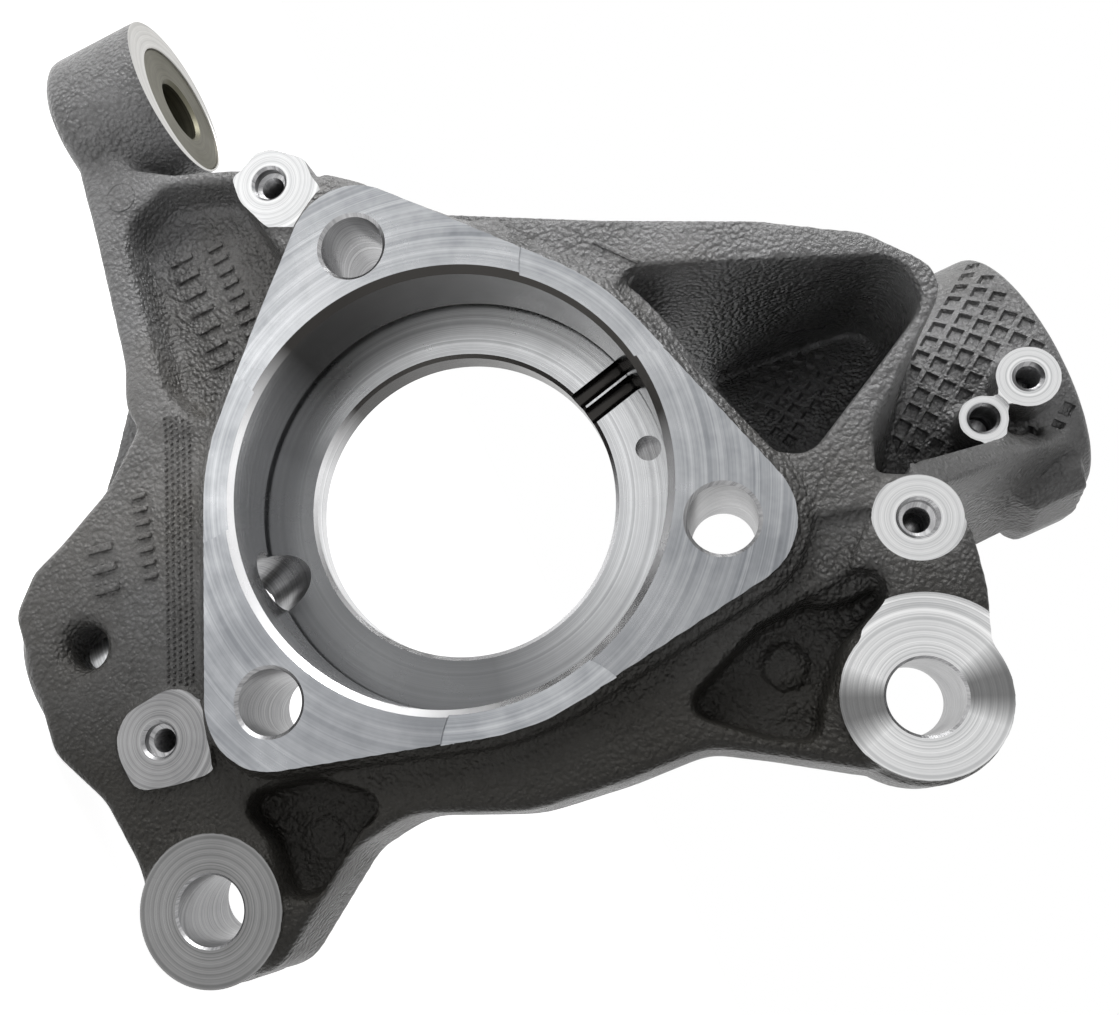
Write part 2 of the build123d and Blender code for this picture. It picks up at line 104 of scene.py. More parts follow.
# places on the casting, in millimetres, that its machining goes by
machining = {
    "boltCircle": 55.35,
    "boltAngles": (57, 177, 297),
    "boltRadius": 6.7,
    "boltLevels": (-1, 0.7, 31.3, 33),
    "boltWiden": 1.7,
    "millLow": (-76, -12, -112),
    "millHigh": (112, 0, 112),
    "flangeReach": 80,
    "seatRadius": 44.5,
    "seatMouth": 47.4,
    "seatStart": -1.5,
    "seatChamfer": 1.6,
    "seatDepth": 21.0,
    "grooveRadius": 45.2,
    "grooveWidth": 1.6,
    "shoulder": (33.6, 44.8),
    "lipRadius": 32.8,
    "lipChamfer": 0.8,
    "lipEnd": 28.0,
    "backRadius": 38.8,
    "housingBack": 32.0,
    "reliefLevel": 0.45,
    "reliefRadius": 20.5,
    "reliefReach": 57.5,
    "spotStart": -13,
    "bossStart": -3,
    "earFace": 4.0,
    "earBack": 31.5,
    "upperEar": (75.0, 65.2),
    "lowerEar": (57.6, -77.4),
    "earHole": 7.0,
    "earLevels": (2.5, 4.5, 31, 33),
    "earWiden": 2,
    "spotRadius": 19.0,
    "lowerSpot": 16.6,
    "frontShield": (-79.6, -8.3),
    "lowerShield": (21.9, -75.2),
    "upperShield": (44.8, 78.9),
    "shieldReach": 18,
    "shieldSpot": 8.4,
    "lineBoss": (24.3, 118.8, 35.5),
    "lineSpot": 8,
    "clipBoss": (28.2, 107.0, 36.5),
    "clipSpot": 5.6,
    "clampSpotStart": 20,
    "strut": (16.6, 75.0),
    "strutBore": 25.2,
    "strutMouth": 28.1,
    "strutChamfer": 0.9,
    "strutOuter": 31.0,
    "strutBottom": 62.0,
    "strutStop": 68.0,
    "stopMouth": 22.6,
    "stopRadius": 22,
    "stopChamfer": 0.6,
    "strutTop": 130.4,
    "strutPast": 2,
    "stopPast": 4,
    "topReach": 34,
    "topTrim": 0.1,
    "pinchY": 114.0,
    "pinchZ": 113.0,
    "pinchRadius": 6.2,
    "pinchHalf": 25,
    "pinchFace": 10.6,
    "lugEnd": 17.5,
    "lugTrim": 0.4,
    "slit": 3.0,
    "slitReach": (10, 70),
    "slitPast": 6,
    "eye": (-115.3, 17.0, -22.0),
    "eyeTilt": 7.1,
    "eyeLean": 5.1,
    "eyeBore": 15.0,
    "eyeLength": 24,
    "eyeRadius": 18.4,
    "eyeOffset": (-2.02, -2.28, -0.10),
    "eyeFaceReach": 20,
    "joint": (-2.0, 24.5),
    "jointFace": -99.8,
    "jointMouth": -100,
    "jointReach": 16.8,
    "faceStock": 6,
    "sensorTilt": 38,
    "sensorX": -1.8,
    "sensorRise": 2.4,
    "sensorRadius": 6.8,
    "sensorStart": 15,
    "sensorLength": 42,
    "channelAngle": 103,
    "channelSpacing": 4.3,
    "channelStart": 31.8,
    "channelRadius": 1.9,
    "channelLength": 13.1,
    "drainAngle": 81,
    "drainReach": 41.2,
    "drainRadius": 2.7,
    "drainLevels": (-2, 4),
    "coreHole": (-3.4, -84.5),
    "frontOutline": [
        (-84.6, -17), (-89, -8.6), (-88, -4.2), (-81.6, 2.4),
        (-73, 2), (-67, -7), (-71.6, -14.4), (-79, -17.4),
    ],
    "lowerOutline": [
        (8, -92), (5, -80), (8, -66), (20.5, -63.4),
        (32.2, -66.6), (33.5, -76), (30, -85), (22, -90),
    ],
}

# tapped holes, in millimetres
tapped = {
    "shield": {"mouth": 3.45, "chamfer": 0.6, "counterbore": 2.5, "minor": 2.5, "major": 2.95, "depth": 14},
    "line": {"mouth": 2.9, "chamfer": 0.4, "counterbore": 0, "minor": 2.5, "major": 2.9, "depth": 12},
    "clip": {"mouth": 3.1, "chamfer": 0.3, "counterbore": 0, "minor": 2.8, "major": 3.0, "depth": 12},
}
thread = {"lead": 2, "root": 0.3, "crest": 0.8, "point": 0.6}

# turned outlines that no other value gives, as (radius, distance along the axis)
profiles = {
    "eye": [(0, -1), (16.2, -1), (15, 0.2), (15, 23.6), (16.6, 25.2), (0, 25.2)],
    "joint": [(0, -2), (10.4, -2), (9.1, 0.9), (7.8, 32), (0, 32)],
    "core": [(0, 3.5), (6.6, 3.5), (5.2, 6.4), (4.6, 8), (4.4, 17), (0, 19.4)],
}

# steps round each turned tool
rounds = {
    "seat": 192, "clamp": 144, "plain": 96, "bolt": 72, "pinch": 64, "core": 48, "shield": 40, "screw": 32,
}


def polar(reach, angle):
    turn = math.radians(angle)
    return (reach * math.cos(turn), reach * math.sin(turn))


def boltCentre(angle):
    return polar(machining["boltCircle"], angle)


def eyePoint(depth):
    # a point on the eye's axis, that far below its machined face
    side = math.tan(math.radians(machining["eyeLean"]))
    out = math.tan(math.radians(machining["eyeTilt"]))
    return Vector(machining["eye"]) - Vector((side, -out, 1)).normalized() * depth


# materials

castLook = {
    "dark": (0.070, 0.069, 0.068, 1),
    "middle": (0.160, 0.160, 0.161, 1),
    "light": (0.36, 0.36, 0.365, 1),
    "stain": (0.105, 0.092, 0.070, 1),
    # painted shade, mixed into the skin towards the caliper side
    "shade": (0.026, 0.024, 0.020, 1),
    "peelScale": 1050,
    "peelSmoothness": 0.6,
    "peelLevel": 0.6,
    "peelDepth": 0.00085,
    "wobbleScale": 300,
    "wobbleReach": 0.0012,
    "fineNoise": (2300, 3, 0.6),
    "fineShare": 0.35,
    "zoneNoise": (45, 2),
    "zoneRange": (0.35, 0.7, 0.35, 1.0),
    "cloudNoise": (30, 4, 0.6),
    "cloudRange": (0.3, 0.7),
    "stainNoise": (17, 3, 0.55),
    "stainRange": (0.5, 0.75),
    "stainShare": 0.4,
    "wornRange": (0.3, 0.8),
    "wornShare": 0.4,
    "roughness": (0.22, 0.36),
    "metallic": 0.15,
    "specular": (0.45, 0.16),
    "shadeLean": 0.3,
    "shadeReach": (-0.012, 0.050),
    "shadeAmount": 0.92,
}

ringLook = {
    "fineNoise": (2.6, 2, 0.6),
    "fineShare": 0.45,
    "broadNoise": (0.55, 3, 0.7),
    "broadShare": 0.75,
    "toneRange": (0.45, 0.78),
    "patchNoise": (30, 5, 0.66),
    "patchRange": (0.38, 0.66),
    "roughSpread": (0.1, -0.03),
}

turnedLooks = {
    "flange": {
        "dark": (0.19, 0.20, 0.215, 1), "light": (0.60, 0.61, 0.625, 1),
        "roughness": 0.25, "pitch": 0.0011, "depth": 0.000014, "patches": 0.6,
    },
    "wall": {
        "dark": (0.55, 0.555, 0.565, 1), "light": (0.92, 0.92, 0.93, 1),
        "roughness": 0.20, "pitch": 0.0007, "depth": 0.000008, "patches": 0.3,
    },
    "seat": {
        "dark": (0.40, 0.405, 0.415, 1), "light": (0.80, 0.81, 0.82, 1),
        "roughness": 0.24, "pitch": 0.0007, "depth": 0.000008, "patches": 0.3,
    },
    "ear": {
        "dark": (0.42, 0.425, 0.43, 1), "light": (0.86, 0.86, 0.86, 1),
        "roughness": 0.27, "pitch": 0.0008, "depth": 0.000030, "patches": 0.2,
    },
    "boss": {
        "dark": (0.42, 0.425, 0.43, 1), "light": (0.78, 0.78, 0.78, 1),
        "roughness": 0.30, "pitch": 0.0006, "depth": 0.000014, "patches": 0.25,
    },
    "hole": {
        "dark": (0.20, 0.20, 0.205, 1), "light": (0.46, 0.46, 0.465, 1),
        "roughness": 0.28, "pitch": 0.0006, "depth": 0.000012, "patches": 0.25,
    },
    "eye": {
        "dark": (0.46, 0.455, 0.44, 1), "light": (0.74, 0.73, 0.71, 1),
        "roughness": 0.36, "pitch": 0.0009, "depth": 0.000010, "patches": 0.3,
    },
    # painted shade: darker copies of the ear and boss looks, for the lower ear and the lower boss, which the
    # key light reaches less
    "lowerEar": {
        "dark": (0.10, 0.10, 0.10, 1), "light": (0.24, 0.24, 0.24, 1),
        "roughness": 0.27, "pitch": 0.0008, "depth": 0.000030, "patches": 0.2,
    },
    "shadedLowerBoss": {
        "dark": (0.12, 0.12, 0.122, 1), "light": (0.32, 0.32, 0.322, 1),
        "roughness": 0.30, "pitch": 0.0006, "depth": 0.000014, "patches": 0.3,
    },
    "bush": {
        "dark": (0.085, 0.082, 0.062, 1), "light": (0.16, 0.152, 0.115, 1),
        "roughness": 0.36, "pitch": 0.0007, "depth": 0.000008, "patches": 0.35,
    },
}


def groupNode(tree, group, links):
    node = tree.nodes.new("ShaderNodeGroup")
    node.node_tree = group
    for name, socket in links.items():
        tree.links.new(socket, node.inputs[name])
    return node


def newGroup(name, inputs, outputs):
    group = bpy.data.node_groups.new(name, "ShaderNodeTree")
    for label, kind in inputs:
        group.interface.new_socket(name=label, in_out="INPUT", socket_type=kind)
    for label, kind in outputs:
        group.interface.new_socket(name=label, in_out="OUTPUT", socket_type=kind)
    return group, group.nodes.new("NodeGroupInput"), group.nodes.new("NodeGroupOutput")


def mathNode(tree, operation, first, second=None):
    node = tree.nodes.new("ShaderNodeMath")
    node.operation = operation
    for socket, value in zip(node.inputs, (first, second)):
        if value is None:
            continue
        if isinstance(value, (int, float)):
            socket.default_value = value
        else:
            tree.links.new(value, socket)
    return node.outputs[0]


def noiseNode(tree, vector, scale, detail=2, roughness=0.5, flat=False):
    node = tree.nodes.new("ShaderNodeTexNoise")
    if flat:
        node.noise_dimensions = "1D"
        tree.links.new(vector, node.inputs["W"])
    else:
        tree.links.new(vector, node.inputs["Vector"])
    node.inputs["Scale"].default_value = scale
    node.inputs["Detail"].default_value = detail
    node.inputs["Roughness"].default_value = roughness
    return node.outputs[0]


def mixColours(tree, factor, first, second):
    node = tree.nodes.new("ShaderNodeMix")
    node.data_type = "RGBA"
    tree.links.new(factor, node.inputs["Factor"])
    for socket, value in ((node.inputs[6], first), (node.inputs[7], second)):
        if isinstance(value, tuple):
            socket.default_value = value
        else:
            tree.links.new(value, socket)
    return node.outputs[2]


def rangeNode(tree, value, low, high, outLow=0.0, outHigh=1.0):
    node = tree.nodes.new("ShaderNodeMapRange")
    tree.links.new(value, node.inputs["Value"])
    for name, number in (("From Min", low), ("From Max", high), ("To Min", outLow), ("To Max", outHigh)):
        node.inputs[name].default_value = number
    return node.outputs[0]


def castGrainGroup():
    # the peel, the fine grain and the clouds of a sand-cast skin
    group, source, sink = newGroup(
        "castGrain", [("Vector", "NodeSocketVector")],
        [("Height", "NodeSocketFloat"), ("Cloud", "NodeSocketFloat"), ("Stain", "NodeSocketFloat")],
    )
    look = castLook
    vector = source.outputs["Vector"]
    cells = group.nodes.new("ShaderNodeTexVoronoi")
    cells.feature = "SMOOTH_F1"
    cells.inputs["Scale"].default_value = look["peelScale"]
    cells.inputs["Smoothness"].default_value = look["peelSmoothness"]
    bent = group.nodes.new("ShaderNodeVectorMath")
    bent.operation = "MULTIPLY_ADD"
    wobble = group.nodes.new("ShaderNodeTexNoise")
    wobble.inputs["Scale"].default_value = look["wobbleScale"]
    group.links.new(vector, wobble.inputs["Vector"])
    group.links.new(wobble.outputs["Color"], bent.inputs[0])
    bent.inputs[1].default_value = (look["wobbleReach"],) * 3
    group.links.new(vector, bent.inputs[2])
    group.links.new(bent.outputs[0], cells.inputs["Vector"])
    fine = noiseNode(group, vector, *look["fineNoise"])
    zones = rangeNode(group, noiseNode(group, vector, *look["zoneNoise"]), *look["zoneRange"])
    peel = mathNode(group, "MULTIPLY", cells.outputs["Distance"], zones)
    grain = mathNode(group, "MULTIPLY", fine, look["fineShare"])
    height = mathNode(group, "SUBTRACT", mathNode(group, "ADD", grain, look["peelLevel"]), peel)
    group.links.new(height, sink.inputs["Height"])
    cloud = noiseNode(group, vector, *look["cloudNoise"])
    group.links.new(rangeNode(group, cloud, *look["cloudRange"]), sink.inputs["Cloud"])
    stain = noiseNode(group, vector, *look["stainNoise"])
    group.links.new(rangeNode(group, stain, *look["stainRange"]), sink.inputs["Stain"])
    return group


def turnedMarksGroup():
    # rings round local z on flat faces, and along it on bored walls
    group, source, sink = newGroup(
        "turnedMarks",
        [("Vector", "NodeSocketVector"), ("Spacing", "NodeSocketFloat"), ("Side", "NodeSocketVector")],
        [("Height", "NodeSocketFloat"), ("Tone", "NodeSocketFloat"), ("Patch", "NodeSocketFloat"),
         ("Lean", "NodeSocketFloat")],
    )
    look = ringLook
    vector = source.outputs["Vector"]
    split = group.nodes.new("ShaderNodeSeparateXYZ")
    group.links.new(vector, split.inputs[0])
    squareX = mathNode(group, "MULTIPLY", split.outputs[0], split.outputs[0])
    squareY = mathNode(group, "MULTIPLY", split.outputs[1], split.outputs[1])
    radius = mathNode(group, "SQRT", mathNode(group, "ADD", squareX, squareY))
    reach = mathNode(group, "ADD", radius, split.outputs[2])
    turns = mathNode(group, "DIVIDE", reach, source.outputs["Spacing"])
    fine = noiseNode(group, turns, *look["fineNoise"], flat=True)
    broad = noiseNode(group, turns, *look["broadNoise"], flat=True)
    group.links.new(mathNode(group, "ADD", fine, broad), sink.inputs["Height"])
    finePart = mathNode(group, "MULTIPLY", fine, look["fineShare"])
    broadPart = mathNode(group, "MULTIPLY", broad, look["broadShare"])
    tone = mathNode(group, "ADD", finePart, broadPart)
    group.links.new(rangeNode(group, tone, *look["toneRange"]), sink.inputs["Tone"])
    patch = noiseNode(group, vector, *look["patchNoise"])
    group.links.new(rangeNode(group, patch, *look["patchRange"]), sink.inputs["Patch"])
    side = group.nodes.new("ShaderNodeVectorMath")
    side.operation = "DOT_PRODUCT"
    group.links.new(vector, side.inputs[0])
    group.links.new(source.outputs["Side"], side.inputs[1])
    group.links.new(mathNode(group, "DIVIDE", side.outputs["Value"], radius), sink.inputs["Lean"])
    return group


castGrain = castGrainGroup()
turnedMarks = turnedMarksGroup()


def newMaterial(name):
    material = bpy.data.materials.new(name)
    material.use_nodes = True
    return material, material.node_tree, material.node_tree.nodes["Principled BSDF"]


def addBump(tree, shader, height, distance):
    bump = tree.nodes.new("ShaderNodeBump")
    bump.inputs["Distance"].default_value = distance
    tree.links.new(height, bump.inputs["Height"])
    tree.links.new(bump.outputs["Normal"], shader.inputs["Normal"])


def castSkinMaterial():
    # painted shade: the colour darkens, and the gloss drops, towards the caliper side
    look = castLook
    material, tree, shader = newMaterial("castSkin")
    coords = tree.nodes.new("ShaderNodeTexCoord")
    grain = groupNode(tree, castGrain, {"Vector": coords.outputs["Object"]})
    height = grain.outputs["Height"]
    cloud = grain.outputs["Cloud"]
    lifted = rangeNode(tree, height, *look["wornRange"])
    base = mixColours(tree, cloud, look["dark"], look["middle"])
    worn = mixColours(tree, mathNode(tree, "MULTIPLY", lifted, look["wornShare"]), base, look["light"])
    spots = mathNode(tree, "MULTIPLY", grain.outputs["Stain"], look["stainShare"])
    stained = mixColours(tree, spots, worn, look["stain"])
    split = tree.nodes.new("ShaderNodeSeparateXYZ")
    tree.links.new(coords.outputs["Object"], split.inputs[0])
    lean = mathNode(tree, "MULTIPLY", split.outputs[2], look["shadeLean"])
    reach = mathNode(tree, "SUBTRACT", split.outputs[0], lean)
    shaded = rangeNode(tree, reach, *look["shadeReach"])
    paintedShadeColour = mixColours(tree, mathNode(tree, "MULTIPLY", shaded, look["shadeAmount"]), stained, look["shade"])
    tree.links.new(paintedShadeColour, shader.inputs["Base Color"])
    tree.links.new(rangeNode(tree, cloud, 0, 1, *look["roughness"]), shader.inputs["Roughness"])
    shader.inputs["Metallic"].default_value = look["metallic"]
    gloss = rangeNode(tree, shaded, 0, 1, *look["specular"])
    tree.links.new(gloss, shader.inputs["Specular IOR Level"])
    addBump(tree, shader, height, look["peelDepth"])
    return material


def turnedMaterial(name, look, origin=(0, 0, 0), direction=(0, 1, 0), shade=None):
    # shade darkens one side, or two where it is squared, as the room does in the metal
    look = turnedLooks[look]
    turn = Vector(direction).to_track_quat("Z", "Y")
    material, tree, shader = newMaterial(name)
    coords = tree.nodes.new("ShaderNodeTexCoord")
    centre = tree.nodes.new("ShaderNodeMapping")
    centre.vector_type = "TEXTURE"
    centre.inputs["Location"].default_value = Vector(origin) * mm
    centre.inputs["Rotation"].default_value = turn.to_euler()
    tree.links.new(coords.outputs["Object"], centre.inputs["Vector"])
    marks = groupNode(tree, turnedMarks, {"Vector": centre.outputs["Vector"]})
    marks.inputs["Spacing"].default_value = look["pitch"]
    patch = mathNode(tree, "MULTIPLY", marks.outputs["Patch"], look["patches"])
    tone = mathNode(tree, "MULTIPLY", marks.outputs["Tone"], 1 - look["patches"])
    colour = mixColours(tree, mathNode(tree, "ADD", tone, patch), look["dark"], look["light"])
    if shade:
        marks.inputs["Side"].default_value = turn.inverted() @ Vector(shade["side"]).normalized()
        lean = marks.outputs["Lean"]
        if shade["both"]:
            lean = mathNode(tree, "MULTIPLY", lean, lean)
        reach = rangeNode(tree, lean, shade["from"], shade["to"], 0, shade["amount"])
        colour = mixColours(tree, reach, colour, shade["colour"])
    tree.links.new(colour, shader.inputs["Base Color"])
    ends = [look["roughness"] + spread for spread in ringLook["roughSpread"]]
    tree.links.new(rangeNode(tree, marks.outputs["Patch"], 0, 1, *ends), shader.inputs["Roughness"])
    shader.inputs["Metallic"].default_value = 1.0
    addBump(tree, shader, marks.outputs["Height"], look["depth"])
    return material


print("materials made")


# the casting: a rough skin with stock on it, then the machining cuts

casting = {
    "voxel": 0.85,
    "smoothSteps": 9,
    "smoothFactor": 0.5,
    "stock": 1.2,
    "faces": 110000,
    "weld": 0.002,
    "levelError": 0.02,
    "facesOut": -0.999,
}

# rods that fill the CAD holes, in millimetres, so that the skin closes over them
plugs = {
    "seatPast": 2.2,
    "holePast": 1,
    "backShort": 0.3,
    "shieldRadius": 4.8,
    "shieldEnd": 19,
    "screwRadius": 3.6,
    "screwLength": 12.5,
    "strutShort": 0.8,
    "strutThin": 0.1,
    "eyePast": 0.2,
    "pinchReach": 17.4,
    "pinchRadius": 8,
    "jointRadius": 10.5,
    "jointHeights": (-100, -70.4),
}


def machinedLevel(face):
    # True for the faces of the CAD model that are milled flat
    if face.normal.y > casting["facesOut"]:
        return False
    m = machining
    y = face.calc_center_median().y / mm
    levels = (0, m["reliefLevel"], m["earFace"], m["lineBoss"][2], m["clipBoss"][2])
    return any(abs(y - level) < casting["levelError"] for level in levels)


def addPlugs(bm):
    m, p = machining, plugs
    stock = casting["stock"]
    back = m["housingBack"] - p["backShort"]
    addRodY(bm, (0, 0), m["seatRadius"] + p["seatPast"], -stock, back)
    for angle in m["boltAngles"]:
        addRodY(bm, boltCentre(angle), m["boltRadius"] + p["holePast"], -stock, back)
    for ear in (m["upperEar"], m["lowerEar"]):
        addRodY(bm, ear, m["earHole"] + p["holePast"], m["earFace"] - stock, m["earBack"] - p["backShort"])
    for boss in (m["frontShield"], m["lowerShield"], m["upperShield"]):
        addRodY(bm, boss, p["shieldRadius"], m["earFace"] - stock, p["shieldEnd"])
    for x, z, y in (m["lineBoss"], m["clipBoss"]):
        addRodY(bm, (x, z), p["screwRadius"], y - stock, y + p["screwLength"])
    x, y = m["strut"]
    foot, top = m["strutBottom"] + p["strutShort"], m["strutTop"] - p["strutShort"]
    addRod(bm, (x, y, foot), (x, y, top), m["strutOuter"] - p["strutThin"])
    addRod(bm, eyePoint(-stock), eyePoint(m["eyeLength"]), m["eyeBore"] + p["eyePast"])
    ends = [(x + side * p["pinchReach"], m["pinchY"], m["pinchZ"]) for side in (-1, 1)]
    addRod(bm, *ends, p["pinchRadius"])
    ends = [(*m["joint"], height) for height in p["jointHeights"]]
    addRod(bm, *ends, p["jointRadius"])


def roughCasting():
    bm = bmesh.new()
    bm.from_mesh(castingNode.data)
    bmesh.ops.remove_doubles(bm, verts=bm.verts, dist=casting["weld"] * mm)
    bm.normal_update()
    milled = [f for f in bm.faces if machinedLevel(f)]
    grown = bmesh.ops.extrude_face_region(bm, geom=milled)
    moved = [v for v in grown["geom"] if isinstance(v, bmesh.types.BMVert)]
    bmesh.ops.translate(bm, verts=moved, vec=(0, -casting["stock"] * mm, 0))
    bmesh.ops.delete(bm, geom=milled, context="FACES")
    addPlugs(bm)
    piece = linkMesh("roughCasting", bm)
    remesh = piece.modifiers.new("skin", "REMESH")
    remesh.mode = "VOXEL"
    remesh.voxel_size = casting["voxel"] * mm
    remesh.adaptivity = 0
    smooth = piece.modifiers.new("soften", "SMOOTH")
    smooth.factor = casting["smoothFactor"]
    smooth.iterations = casting["smoothSteps"]
    applyModifiers(piece)
    thin = piece.modifiers.new("thin", "DECIMATE")
    thin.ratio = min(1.0, casting["faces"] / (2 * len(piece.data.polygons)))
    applyModifiers(piece)
    piece.data.shade_smooth()
    return piece


surfaces = []
poleWeld = 0.0005


def noteSurface(material, origin, direction, profile):
    # remembers a turned surface, so that its faces find their material after the cuts
    inverse = axisMatrix(origin, direction).inverted()
    surfaces.append((material, inverse, [Vector(p) * mm for p in profile]))


def turnedTool(bm, material, origin, direction, profile, segments=rounds["plain"]):
    # a closed turned body: the profile gives (radius, distance along the axis), and starts and
    # ends on the axis, or where it began
    verts = [bm.verts.new((radius * mm, 0, along * mm)) for radius, along in profile]
    edges = [bm.edges.new(pair) for pair in zip(verts, verts[1:])]
    bmesh.ops.spin(
        bm, geom=verts + edges, cent=(0, 0, 0), axis=(0, 0, 1), angle=2 * math.pi,
        steps=segments, use_merge=True, use_duplicate=False,
    )
    shell = set()
    front = {v for v in verts if v.is_valid}
    while front:
        shell |= front
        front = {e.other_vert(v) for v in front for e in v.link_edges} - shell
    bmesh.ops.remove_doubles(bm, verts=list(shell), dist=poleWeld * mm)
    shell = [v for v in shell if v.is_valid]
    bmesh.ops.transform(bm, matrix=axisMatrix(origin, direction), verts=shell)
    faces = list({f for v in shell for f in v.link_faces})
    bmesh.ops.recalc_face_normals(bm, faces=faces)
    noteSurface(material, origin, direction, profile)


def boreY(bm, material, centre, profile, segments=rounds["plain"]):
    turnedTool(bm, material, (centre[0], 0, centre[1]), (0, 1, 0), profile, segments)


def plainDrill(radius, start, end):
    return [(0, start), (radius, start), (radius, end), (0, end)]


def spotFace(bm, material, centre, radius, level, start):
    boreY(bm, material, centre, plainDrill(radius, start, level))


def cutWith(piece, bm, operation="DIFFERENCE"):
    cut(piece, linkMesh("tool", bm), operation)


def blockTool(bm, corners, yOut, yIn):
    # a straight block over an outline of (x, z) corners
    verts = [bm.verts.new((x * mm, yOut * mm, z * mm)) for x, z in corners]
    face = bm.faces.new(verts)
    grown = bmesh.ops.extrude_face_region(bm, geom=[face], use_keep_orig=True)
    moved = [v for v in grown["geom"] if isinstance(v, bmesh.types.BMVert)]
    bmesh.ops.translate(bm, verts=moved, vec=(0, (yIn - yOut) * mm, 0))
    shell = list({f for v in moved for f in v.link_faces} | {face})
    bmesh.ops.recalc_face_normals(bm, faces=shell)


def millFaces(piece):
    m = machining
    bm = bmesh.new()
    addBox(bm, m["millLow"], m["millHigh"])
    cutWith(piece, bm)
    deep = m["seatDepth"]
    noteSurface("flange", (0, 0, 0), (0, 1, 0), [(0, 0), (m["flangeReach"], 0)])
    noteSurface("seatShoulder", (0, 0, 0), (0, 1, 0), [(radius, deep) for radius in m["shoulder"]])
    bm = bmesh.new()
    for angle in m["boltAngles"]:
        centre = polar(m["reliefReach"], angle + 180)
        spotFace(bm, "flangeRelief", centre, m["reliefRadius"], m["reliefLevel"], m["spotStart"])
    spotFace(bm, "upperEar", m["upperEar"], m["spotRadius"], m["earFace"], m["spotStart"])
    spotFace(bm, "lowerEar", m["lowerEar"], m["lowerSpot"], m["earFace"], m["spotStart"])
    cutWith(piece, bm)
    bm = bmesh.new()
    blockTool(bm, m["frontOutline"], m["bossStart"], m["earFace"])
    blockTool(bm, m["lowerOutline"], m["bossStart"], m["earFace"])
    for boss in ("frontShield", "lowerShield"):
        x, z = m[boss]
        noteSurface(boss, (x, 0, z), (0, 1, 0), [(0, m["earFace"]), (m["shieldReach"], m["earFace"])])
    spotFace(bm, "upperShield", m["upperShield"], m["shieldSpot"], m["earFace"], m["bossStart"])
    x, z, y = m["lineBoss"]
    spotFace(bm, "lineBoss", (x, z), m["lineSpot"], y, m["clampSpotStart"])
    cutWith(piece, bm)
    bm = bmesh.new()
    x, z, y = m["clipBoss"]
    spotFace(bm, "clipBoss", (x, z), m["clipSpot"], y, m["clampSpotStart"])
    stock = m["faceStock"]
    centre = eyePoint(0) + Vector(m["eyeOffset"])
    turnedTool(bm, "eyeFace", centre, eyePoint(-1) - eyePoint(0), plainDrill(m["eyeFaceReach"], 0, stock))
    foot = (*m["joint"], m["jointFace"])
    turnedTool(bm, "jointFoot", foot, (0, 0, -1), plainDrill(m["jointReach"], 0, stock))
    top = (*m["strut"], m["strutTop"] - m["topTrim"])
    turnedTool(bm, "clampBore", top, (0, 0, 1), plainDrill(m["topReach"], 0, stock))
    for side in (-1, 1):
        end = (m["strut"][0] + side * (m["lugEnd"] - m["lugTrim"]), m["pinchY"], m["pinchZ"])
        profile = plainDrill(m["pinchFace"], 0, stock / 2)
        turnedTool(bm, "pinchFace", end, (side, 0, 0), profile, rounds["pinch"])
    cutWith(piece, bm)


def threadProfile(mouth, chamfer, counterbore, minor, major, depth):
    # a tapped blind hole with a pitch of 1 mm, measured from its face
    profile = [(0, -thread["lead"]), (mouth + chamfer + thread["lead"], -thread["lead"]), (mouth, chamfer)]
    start = chamfer
    if counterbore:
        start = counterbore
        profile.append((mouth, counterbore))
    for turn in range(int(depth - start - 1)):
        profile += [(minor, start + thread["root"] + turn), (major, start + thread["crest"] + turn)]
    return profile + [(minor, depth), (0, depth + minor * thread["point"])]


def throughHole(radius, levels, widen):
    # chamfered at both ends, whose cones lie between the first and the last two levels
    start, mouth, foot, end = levels
    wide = radius + widen
    return [(0, start), (wide, start), (radius, mouth), (radius, foot), (wide, end), (0, end)]


